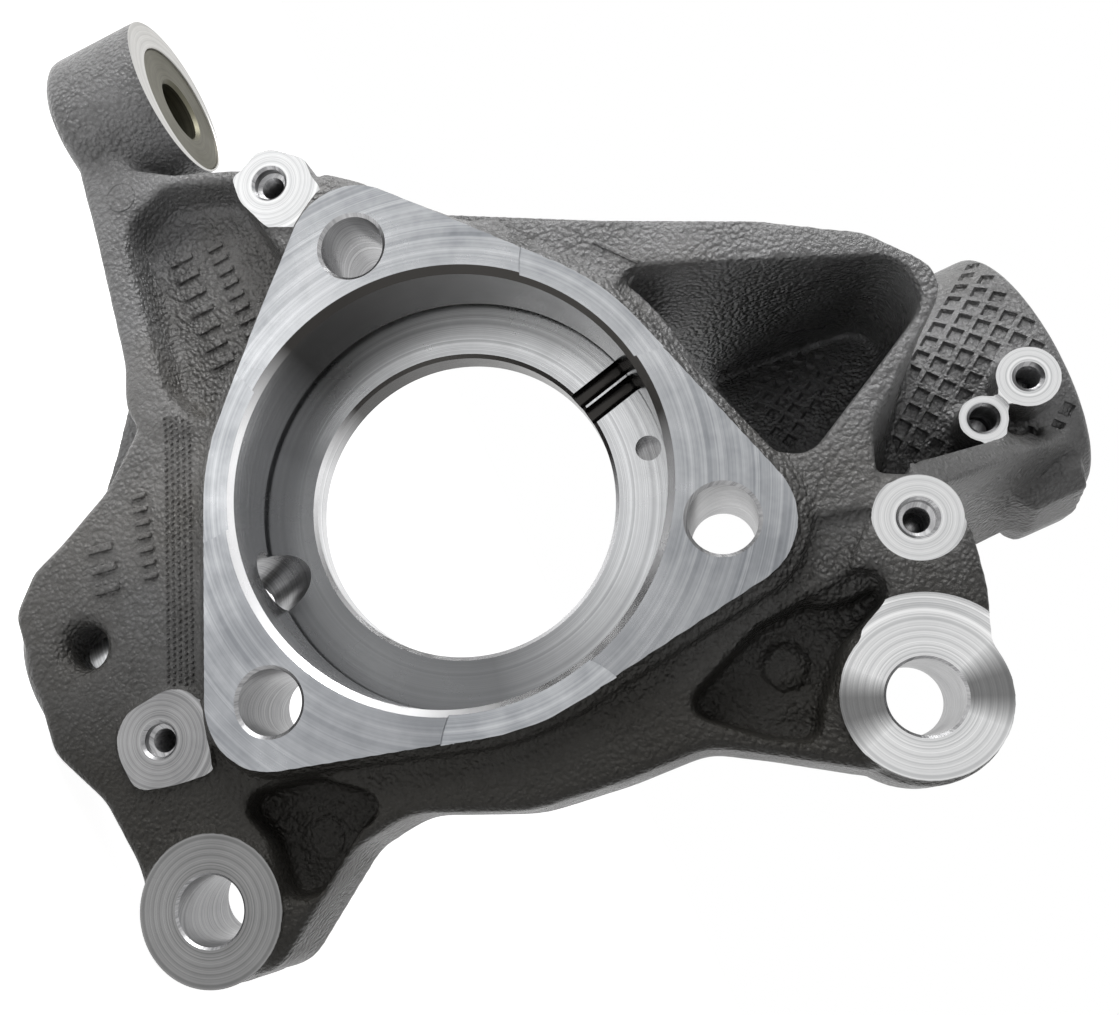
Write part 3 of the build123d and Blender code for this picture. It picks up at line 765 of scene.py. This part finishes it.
def boreHoles(piece):
    m = machining
    deep = m["seatDepth"]
    groove = deep - m["grooveWidth"]
    past = m["housingBack"] + 2
    bm = bmesh.new()
    boreY(bm, "bearingSeat", (0, 0), [
        (0, m["seatStart"]), (m["seatMouth"], m["seatStart"]), (m["seatRadius"], m["seatChamfer"]),
        (m["seatRadius"], groove), (m["grooveRadius"], groove), (m["grooveRadius"], deep),
        (m["shoulder"][0], deep), (m["lipRadius"], deep + m["lipChamfer"]), (m["lipRadius"], m["lipEnd"]),
        (m["backRadius"], m["lipEnd"]), (m["backRadius"], past), (0, past),
    ], rounds["seat"])
    for angle in m["boltAngles"]:
        profile = throughHole(m["boltRadius"], m["boltLevels"], m["boltWiden"])
        boreY(bm, "holeWall", boltCentre(angle), profile, rounds["bolt"])
    for ear in (m["upperEar"], m["lowerEar"]):
        boreY(bm, "holeWall", ear, throughHole(m["earHole"], m["earLevels"], m["earWiden"]), rounds["bolt"])
    for boss in (m["frontShield"], m["lowerShield"], m["upperShield"]):
        face = (boss[0], m["earFace"], boss[1])
        turnedTool(bm, "holeWall", face, (0, 1, 0), threadProfile(**tapped["shield"]), rounds["shield"])
    for boss, screw in (("lineBoss", "line"), ("clipBoss", "clip")):
        x, z, y = m[boss]
        turnedTool(bm, "holeWall", (x, y, z), (0, 1, 0), threadProfile(**tapped[screw]), rounds["screw"])
    turnedTool(bm, "eyeFace", eyePoint(0), eyePoint(m["eyeLength"]) - eyePoint(0), profiles["eye"])
    cutWith(piece, bm)
    bm = bmesh.new()
    lean = math.radians(m["sensorTilt"])
    slope = Vector((0, math.sin(lean), -math.cos(lean)))
    start = Vector((m["sensorX"], deep - m["sensorRise"], -m["seatRadius"])) - slope * m["sensorStart"]
    drill = plainDrill(m["sensorRadius"], 0, m["sensorLength"])
    turnedTool(bm, "holeWall", start, slope, drill, rounds["pinch"])
    outX, outZ = polar(1, m["channelAngle"])
    outward = Vector((outX, 0, outZ))
    drill = plainDrill(m["channelRadius"], 0, m["channelLength"])
    for side in (-0.5, 0.5):
        across = Vector((-outZ, 0, outX)) * m["channelSpacing"] * side + Vector((0, deep, 0))
        start = outward * m["channelStart"] + across
        turnedTool(bm, "bearingSeat", start, outward, drill, rounds["screw"])
    low, high = m["drainLevels"]
    drill = plainDrill(m["drainRadius"], deep + low, deep + high)
    boreY(bm, "holeWall", polar(m["drainReach"], m["drainAngle"]), drill, rounds["shield"])
    cutWith(piece, bm)
    bm = bmesh.new()
    mouth = (*m["joint"], m["jointMouth"])
    turnedTool(bm, "jointFoot", mouth, (0, 0, 1), profiles["joint"], rounds["bolt"])
    boreY(bm, "skin", m["coreHole"], profiles["core"], rounds["core"])
    cutWith(piece, bm)


def boreClamp(piece):
    m = machining
    x, y = m["strut"]
    top, bottom, stop = m["strutTop"], m["strutBottom"], m["strutStop"]
    bore, throat = m["strutBore"], m["stopRadius"]
    above, below = top + m["strutPast"], bottom - m["stopPast"]
    bm = bmesh.new()
    turnedTool(bm, "clampBore", (x, y, 0), (0, 0, 1), [
        (0, above), (m["strutMouth"], above), (bore, top - m["strutChamfer"]), (bore, stop),
        (m["stopMouth"], stop), (throat, stop - m["stopChamfer"]), (throat, below), (0, below),
    ], rounds["clamp"])
    cutWith(piece, bm)
    bm = bmesh.new()
    half = m["slit"] / 2
    near, far = m["slitReach"]
    past = m["slitPast"]
    addBox(bm, (x - half, y + near, bottom - past), (x + half, y + far, top + past))
    cutWith(piece, bm)
    bm = bmesh.new()
    start = (x - m["pinchHalf"], m["pinchY"], m["pinchZ"])
    drill = plainDrill(m["pinchRadius"], 0, 2 * m["pinchHalf"])
    turnedTool(bm, "holeWall", start, (1, 0, 0), drill, rounds["pinch"])
    cutWith(piece, bm)


# details of the cast skin

details = {
    "upperWaffle": {"pitch": 4.05, "turn": 36},
    "lowerWaffle": {"pitch": 3.45, "turn": 29},
    "upperField": {"right": 35, "top": 127.2, "armEdge": (4, 109.8, -1.29), "ribEdge": (30, 95, 1.3)},
    "lowerField": {"left": -9.5, "foot": 68.5, "right": (75, 12.5, -0.52), "top": (-11, 80, 0.75)},
    "waffleSteps": 10,
    "waffleMiddle": 100,
    "waffleRidge": 0.95,
    "waffleMouth": 0.12,
    "waffleDepth": 0.95,
    "waffleRise": 0.25,
    "waffleSlope": 0.42,
    "lineKeep": 8.2,
    "clipKeep": 6.8,
    "shieldBarrel": {"radius": 8.15, "end": 15},
    "earBarrel": {"radius": 15.05, "end": 24},
    "barrelStock": 0.8,
    "eyeBarrelEnd": 20.5,
    "eyeBarrelSpread": (-0.1, 0.4),
    "ejectors": [(-93.6, -40.4, 3.1, 0.45), (59.3, 45.5, 4.1, 0.8), (53.4, -53.3, 4.2, 0.6)],
    "ejectorGroove": 0.35,
    "ejectorStart": -0.6,
    "ejectorWall": 0.15,
    "knurlCorners": [(-42, -50), (-39.5, -43.8), (14.2, -64.6), (12, -70.3)],
    "knurlPitch": 1.25,
    "knurlHeight": 0.42,
    "knurlSunk": 0.35,
    "knurlLength": 1.7,
    "knurlFoot": 0.66,
    "knurlTip": 0.18,
    "knurlShift": (0.25, 0.75),
    "knurlFacing": -0.75,
    "barHeight": 0.75,
    "barSoftness": 0.38,
    "barRows": [
        {"start": (-77.5, -27.0), "end": (-51.5, -26.4), "count": 9, "size": (1.3, 4.0)},
        {"start": (-78.6, -35.3), "end": (-51.5, -35.3), "count": 7, "size": (1.7, 5.6)},
        {"start": (-28.3, -61.3), "end": (-11.0, -65.0), "count": 7, "size": (1.2, 3.4)},
        {"start": (-21.5, -73.4), "end": (-12.6, -75.0), "count": 3, "size": (1.7, 5.8)},
    ],
    "frame": [(-33, 48.5), (-25.2, 54.2), (-21.8, 49.2)],
    "frameBar": {"past": 0.9, "width": 1.1, "height": 0.4},
    "rayStart": -20,
}


def surfaceTree(piece):
    bm = bmesh.new()
    bm.from_mesh(piece.data)
    tree = BVHTree.FromBMesh(bm)
    bm.free()
    return tree


def faceDepth(tree, x, z):
    # how far inboard the outboard skin lies at this place, in millimetres, and its normal
    hit = tree.ray_cast(Vector((x, details["rayStart"], z)) * mm, Vector((0, 1, 0)))
    return hit[0].y / mm, hit[1]


def waffleCells(bm, grid, keep):
    # square pits that stand upright on the round wall of the clamp
    d = details
    x, y = machining["strut"]
    outer = machining["strutOuter"]
    turn = math.radians(grid["turn"])
    mouth = (grid["pitch"] - d["waffleRidge"]) / 2 + d["waffleMouth"]
    deep, rise = d["waffleDepth"], d["waffleRise"]
    floor = mouth - (deep + rise) * d["waffleSlope"]
    steps = range(-d["waffleSteps"], d["waffleSteps"] + 1)
    for column in steps:
        for row in steps:
            across, along = column * grid["pitch"], row * grid["pitch"]
            cx = x + math.cos(turn) * across - math.sin(turn) * along
            cz = d["waffleMiddle"] + math.sin(turn) * across + math.cos(turn) * along
            if not keep(cx, cz):
                continue
            depth = math.sqrt(outer ** 2 - (cx - x) ** 2)
            outward = Vector((cx - x, -depth, 0)).normalized()
            side = Vector((math.cos(turn), 0, math.sin(turn)))
            side = (side - outward * side.dot(outward)).normalized()
            place = Matrix((side, outward.cross(side), outward)).transposed().to_4x4()
            centre = Vector((cx, y - depth, cz)) + outward * (rise - deep) / 2
            matrix = Matrix.Translation(centre * mm) @ place @ Matrix.Rotation(math.pi / 4, 4, "Z")
            bmesh.ops.create_cone(
                bm, cap_ends=True, segments=4, radius1=floor * math.sqrt(2) * mm,
                radius2=mouth * math.sqrt(2) * mm, depth=(deep + rise) * mm, matrix=matrix,
            )


def clearOfBosses(x, z):
    lineX, lineZ, _ = machining["lineBoss"]
    clipX, clipZ, _ = machining["clipBoss"]
    clearOfLine = math.hypot(x - lineX, z - lineZ) > details["lineKeep"]
    return clearOfLine and math.hypot(x - clipX, z - clipZ) > details["clipKeep"]


def lineAt(line, place):
    # the value at a place on a sloping edge, given as (start, value there, slope)
    start, value, slope = line
    return value + slope * (place - start)


def upperCell(x, z):
    # the field on the clamp, between the arm's edge, the rib and the top
    field = details["upperField"]
    inside = x < field["right"] and z < field["top"] and z > lineAt(field["armEdge"], x)
    return inside and clearOfBosses(x, z) and z > lineAt(field["ribEdge"], x)


def lowerCell(x, z):
    # the field that shows in the arm's pocket
    field = details["lowerField"]
    inside = x > field["left"] and z > field["foot"]
    return inside and x < lineAt(field["right"], z) and z < lineAt(field["top"], x)


def ringTool(bm, x, level, z, radius, width):
    # an annular groove, cut from a face that looks outboard
    start, deep = details["ejectorStart"], details["ejectorGroove"]
    wall = width * details["ejectorWall"]
    outer = radius + width
    turnedTool(bm, "skin", (x, level, z), (0, 1, 0), [
        (radius, start), (outer, start), (outer - wall, deep), (radius + wall, deep), (radius, start),
    ], rounds["core"])


def addBar(bm, x, z, level, size, turn, height):
    # a plain raised bar with softened edges
    place = Matrix.Translation(Vector((x, level, z)) * mm) @ Matrix.Rotation(turn, 4, "Y")
    scale = Matrix.Diagonal((size[0] * mm, 2 * height * mm, size[1] * mm, 1))
    made = bmesh.ops.create_cube(bm, size=1, matrix=place @ scale)
    edges = list({e for v in made["verts"] for e in v.link_edges})
    bmesh.ops.bevel(
        bm, geom=edges, offset=details["barSoftness"] * mm, offset_type="OFFSET",
        segments=2, profile=0.5, affect="EDGES", material=-1,
    )


def crispBosses(piece):
    # bosses whose outline stays sharp where the mill has faced them
    m, d = machining, details
    stock = d["barrelStock"]
    bm = bmesh.new()
    for centre, barrel in ((m["upperShield"], d["shieldBarrel"]), (m["lowerEar"], d["earBarrel"])):
        addRodY(bm, centre, barrel["radius"], m["earFace"] - stock, barrel["end"])
    offset = Vector(m["eyeOffset"])
    radii = [m["eyeRadius"] + spread for spread in d["eyeBarrelSpread"]]
    addRod(bm, eyePoint(-stock) + offset, eyePoint(d["eyeBarrelEnd"]) + offset, *radii)
    cutWith(piece, bm, "UNION")


def addKnurl(bm, tree):
    # staggered pyramids over a four-sided strip
    d = details
    corners = [Vector((x, 0, z)) for x, z in d["knurlCorners"]]
    across, along = corners[1] - corners[0], corners[3] - corners[0]
    columns, rows = round(across.length / d["knurlPitch"]), round(along.length / d["knurlPitch"])
    turn = math.atan2(along.z, along.x)
    for column in range(columns):
        for row in range(rows):
            shift = d["knurlShift"][column % 2]
            point = corners[0] + across * ((column + 0.5) / columns) + along * ((row + shift) / rows)
            level, normal = faceDepth(tree, point.x, point.z)
            if normal.y > d["knurlFacing"]:
                continue
            middle = (point.x, level - d["knurlHeight"] * d["knurlSunk"], point.z)
            bmesh.ops.create_cone(
                bm, cap_ends=True, segments=4, radius1=d["knurlFoot"] * mm, radius2=d["knurlTip"] * mm,
                depth=d["knurlHeight"] * d["knurlLength"] * mm,
                matrix=axisMatrix(middle, normal) @ Matrix.Rotation(-turn, 4, "Z"),
            )


def addBars(bm, tree):
    # rows of plain bars, and the two sides of a frame
    d = details
    for row in d["barRows"]:
        start, end = Vector(row["start"]), Vector(row["end"])
        turn = -math.atan2(end.y - start.y, end.x - start.x)
        for place in range(row["count"]):
            spot = start.lerp(end, place / (row["count"] - 1))
            level, normal = faceDepth(tree, spot.x, spot.y)
            addBar(bm, spot.x, spot.y, level, row["size"], turn, d["barHeight"])
    bar = d["frameBar"]
    for first, second in zip(d["frame"], d["frame"][1:]):
        middle = (Vector(first) + Vector(second)) / 2
        way = Vector(second) - Vector(first)
        level, normal = faceDepth(tree, middle.x, middle.y)
        size = (way.length + bar["past"], bar["width"])
        addBar(bm, middle.x, middle.y, level, size, -math.atan2(way.y, way.x), bar["height"])


def castDetails(piece):
    tree = surfaceTree(piece)
    bm = bmesh.new()
    waffleCells(bm, details["upperWaffle"], upperCell)
    waffleCells(bm, details["lowerWaffle"], lowerCell)
    cutWith(piece, bm)
    bm = bmesh.new()
    for x, z, radius, width in details["ejectors"]:
        level, normal = faceDepth(tree, x, z)
        ringTool(bm, x, level, z, radius, width)
    cutWith(piece, bm)
    bm = bmesh.new()
    addKnurl(bm, tree)
    addBars(bm, tree)
    cutWith(piece, bm, "UNION")


painting = {
    "distance": 0.06,
    "lean": 0.35,
    "margin": 0.1,
    "flat": 0.999,
    "axis": 0.01,
    "sharp": 32,
    "sliver": 20,
}


def dropSlivers(piece):
    # the cuts leave a few loose faces that enclose nothing
    bm = bmesh.new()
    bm.from_mesh(piece.data)
    seen = set()
    loose = []
    for face in bm.faces:
        if face in seen:
            continue
        island = {face}
        front = [face]
        while front:
            fresh = {f for e in front.pop().edges for f in e.link_faces} - island
            island |= fresh
            front += fresh
        seen |= island
        if len(island) < painting["sliver"]:
            loose += island
    bmesh.ops.delete(bm, geom=loose, context="FACES")
    bm.to_mesh(piece.data)
    bm.free()
    return len(loose)


def liesOn(profile, point, normal):
    # True where a face, as a point and a normal in the half plane, lies on the turned profile
    for first, second in zip(profile, profile[1:]):
        way = second - first
        share = max(0.0, min(1.0, (point - first).dot(way) / way.length_squared))
        near = (point - first - way * share).length < painting["distance"] * mm
        if near and abs(way.normalized().dot(normal)) < painting["lean"]:
            return True
    return False


def paintFaces(piece, order):
    # gives each machined face the material of the surface that it lies on
    mesh = piece.data
    mesh.materials.clear()
    for name in order:
        mesh.materials.append(partMaterials[name])
    slots = {name: place for place, name in enumerate(order)}
    margin = painting["margin"] * mm
    limits = []
    for material, inverse, profile in surfaces:
        along = [p.y for p in profile]
        limits.append((max(p.x for p in profile) + margin, min(along) - margin, max(along) + margin))
    for face in mesh.polygons:
        face.material_index = 0
        centre = Vector(face.center)
        for (material, inverse, profile), (widest, low, high) in zip(surfaces, limits):
            local = inverse @ centre
            radius = math.hypot(local.x, local.y)
            if radius > widest or not low < local.z < high or material == "skin":
                continue
            normal = inverse.to_3x3() @ face.normal
            if len(profile) == 2 and abs(normal.z) < painting["flat"]:
                continue
            radial = (normal.x * local.x + normal.y * local.y) / max(radius, painting["axis"] * mm)
            if liesOn(profile, Vector((radius, local.z)), Vector((radial, normal.z))):
                face.material_index = slots[material]
                break
    mesh.set_sharp_from_angle(angle=math.radians(painting["sharp"]))


# painted shade and reflection: each entry darkens a machined face on one side, or on two opposite sides
# where both is set, as the room does in the metal
shades = {
    "flange": {
        "side": (0.9, 0, -0.43), "both": False, "from": -0.1, "to": 0.95, "amount": 0.6,
        "colour": (0.15, 0.155, 0.165, 1),
    },
    "seat": {
        "side": (-0.80, 0, 0.60), "both": False, "from": 0.05, "to": 0.5, "amount": 1.0,
        "colour": (0.040, 0.038, 0.036, 1),
    },
    "shoulder": {
        "side": (0.3, 0, -0.95), "both": False, "from": -0.6, "to": 0.5, "amount": 0.92,
        "colour": (0.095, 0.097, 0.10, 1),
    },
    "ear": {
        "side": (0.25, 0, 0.95), "both": True, "from": 0.72, "to": 0.98, "amount": 0.85,
        "colour": (0.085, 0.085, 0.085, 1),
    },
}


def faceMaterial(name, look, place, shade=None):
    # a face turned about a point of the flange's plane
    return turnedMaterial(name, look, (place[0], 0, place[1]), shade=shade)


eyeAxis = eyePoint(machining["eyeLength"]) - eyePoint(0)
pinchPlace = (0, machining["pinchY"], machining["pinchZ"])
partMaterials = {
    "skin": castSkinMaterial(),
    "flange": turnedMaterial("flangeFace", "flange", shade=shades["flange"]),
    "flangeRelief": turnedMaterial("flangeRelief", "flange"),
    "bearingSeat": turnedMaterial("bearingSeat", "wall", shade=shades["seat"]),
    "seatShoulder": turnedMaterial("seatShoulder", "seat", shade=shades["shoulder"]),
    "holeWall": turnedMaterial("holeWall", "hole"),
    "upperEar": faceMaterial("upperEarFace", "ear", machining["upperEar"], shades["ear"]),
    "lowerEar": faceMaterial("lowerEarFace", "lowerEar", machining["lowerEar"]),
    "frontShield": faceMaterial("frontBossFace", "boss", machining["frontShield"]),
    "lowerShield": faceMaterial("lowerBossFace", "shadedLowerBoss", machining["lowerShield"]),
    "upperShield": faceMaterial("upperBossFace", "boss", machining["upperShield"]),
    "lineBoss": faceMaterial("lineBossFace", "boss", machining["lineBoss"]),
    "clipBoss": faceMaterial("clipBossFace", "boss", machining["clipBoss"]),
    "eyeFace": turnedMaterial("eyeFace", "eye", machining["eye"], eyeAxis),
    "jointFoot": turnedMaterial("jointFoot", "seat", (*machining["joint"], 0), (0, 0, 1)),
    "clampBore": turnedMaterial("clampBore", "seat", (*machining["strut"], 0), (0, 0, 1)),
    "pinchFace": turnedMaterial("pinchFace", "hole", pinchPlace, (1, 0, 0)),
}
bushSteel = turnedMaterial("bushSteel", "bush", machining["eye"], eyeAxis)

knuckle = roughCasting()
knuckle.name = "knuckleCasting"
print("rough casting:", len(knuckle.data.polygons), "faces")
crispBosses(knuckle)
castDetails(knuckle)
print("detailed:", len(knuckle.data.polygons), "faces")
millFaces(knuckle)
boreHoles(knuckle)
boreClamp(knuckle)
print("slivers dropped:", dropSlivers(knuckle))
print("bored:", len(knuckle.data.polygons), "faces")
paintFaces(knuckle, list(partMaterials))
print("painted")
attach(knuckle, "root")
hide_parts("knuckle_casting")

bushNode.data.materials.clear()
bushNode.data.materials.append(bushSteel)
print("pieces made")


# floor, lights and camera

studio = {
    "floor": 3.0,
    "floorHeight": -0.1015,
    "floorColour": (0.9, 0.9, 0.9, 1),
    "floorRoughness": 0.9,
    "floorGlow": 0.93,
    "key": {"place": (-0.385, -0.19, 0.225), "target": (-0.02, 0.02, 0.02), "size": 0.32, "power": 2.6},
    "fill": {"place": (0.2, -0.9, 0.9), "target": (0, 0, 0), "size": 0.8, "power": 0.8},
    "world": 0.14,
    "white": (1, 1, 1, 1),
}

photoCamera = {
    "sensor": 36,
    "lens": 40.634,
    "shift": (0.0929, 0.0259),
    "nearClip": 0.01,
    "place": (0.069661, -0.24024, 0.028683),
    "right": (0.39169824, 0.20863263, 0.89612773),
    "up": (-0.88937382, -0.1637166, 0.4268619),
    "back": (0.23576831, -0.9641936, 0.1214249),
}


def seenDirectly(tree):
    # 1 for what the camera sees, straight or in metal and glass
    path = tree.nodes.new("ShaderNodeLightPath")
    seen = mathNode(tree, "MAXIMUM", path.outputs["Is Camera Ray"], path.outputs["Is Glossy Ray"])
    return mathNode(tree, "MAXIMUM", seen, path.outputs["Is Transmission Ray"])


def plainFloor():
    bm = bmesh.new()
    bmesh.ops.create_grid(bm, x_segments=1, y_segments=1, size=studio["floor"] / 2)
    floor = linkMesh("studioFloor", bm)
    floor.location = (0, 0, studio["floorHeight"])
    material, tree, shader = newMaterial("paleFloor")
    shader.inputs["Base Color"].default_value = studio["floorColour"]
    shader.inputs["Roughness"].default_value = studio["floorRoughness"]
    shader.inputs["Emission Color"].default_value = studio["white"]
    glow = mathNode(tree, "MULTIPLY", seenDirectly(tree), studio["floorGlow"])
    tree.links.new(glow, shader.inputs["Emission Strength"])
    floor.data.materials.append(material)


def areaLight(name, lamp):
    data = bpy.data.lights.new(name, "AREA")
    data.energy = lamp["power"]
    data.size = lamp["size"]
    light = bpy.data.objects.new(name, data)
    bpy.context.scene.collection.objects.link(light)
    light.location = lamp["place"]
    way = Vector(lamp["target"]) - Vector(lamp["place"])
    light.rotation_euler = way.to_track_quat("-Z", "Y").to_euler()


def studioCamera():
    view = photoCamera
    data = bpy.data.cameras.new("photoCamera")
    data.sensor_width = view["sensor"]
    data.sensor_fit = "HORIZONTAL"
    data.lens = view["lens"]
    data.shift_x, data.shift_y = view["shift"]
    data.clip_start = view["nearClip"]
    camera = bpy.data.objects.new("photoCamera", data)
    bpy.context.scene.collection.objects.link(camera)
    turn = Matrix((view["right"], view["up"], view["back"])).transposed().to_4x4()
    camera.matrix_world = Matrix.Translation(view["place"]) @ turn
    bpy.context.scene.camera = camera


def whiteBackground(world):
    # seen and mirrored as white, while it lights the part less
    tree = world.node_tree
    background = tree.nodes["Background"]
    background.inputs["Color"].default_value = studio["white"]
    strength = rangeNode(tree, seenDirectly(tree), 0, 1, studio["world"], 1.0)
    tree.links.new(strength, background.inputs["Strength"])


plainFloor()
areaLight("keyLight", studio["key"])
areaLight("fillLight", studio["fill"])
studioCamera()
world = bpy.data.worlds.new("studioWorld")
world.use_nodes = True
whiteBackground(world)
bpy.context.scene.world = world
bpy.context.scene.view_settings.view_transform = "Standard"
print("studio ready")
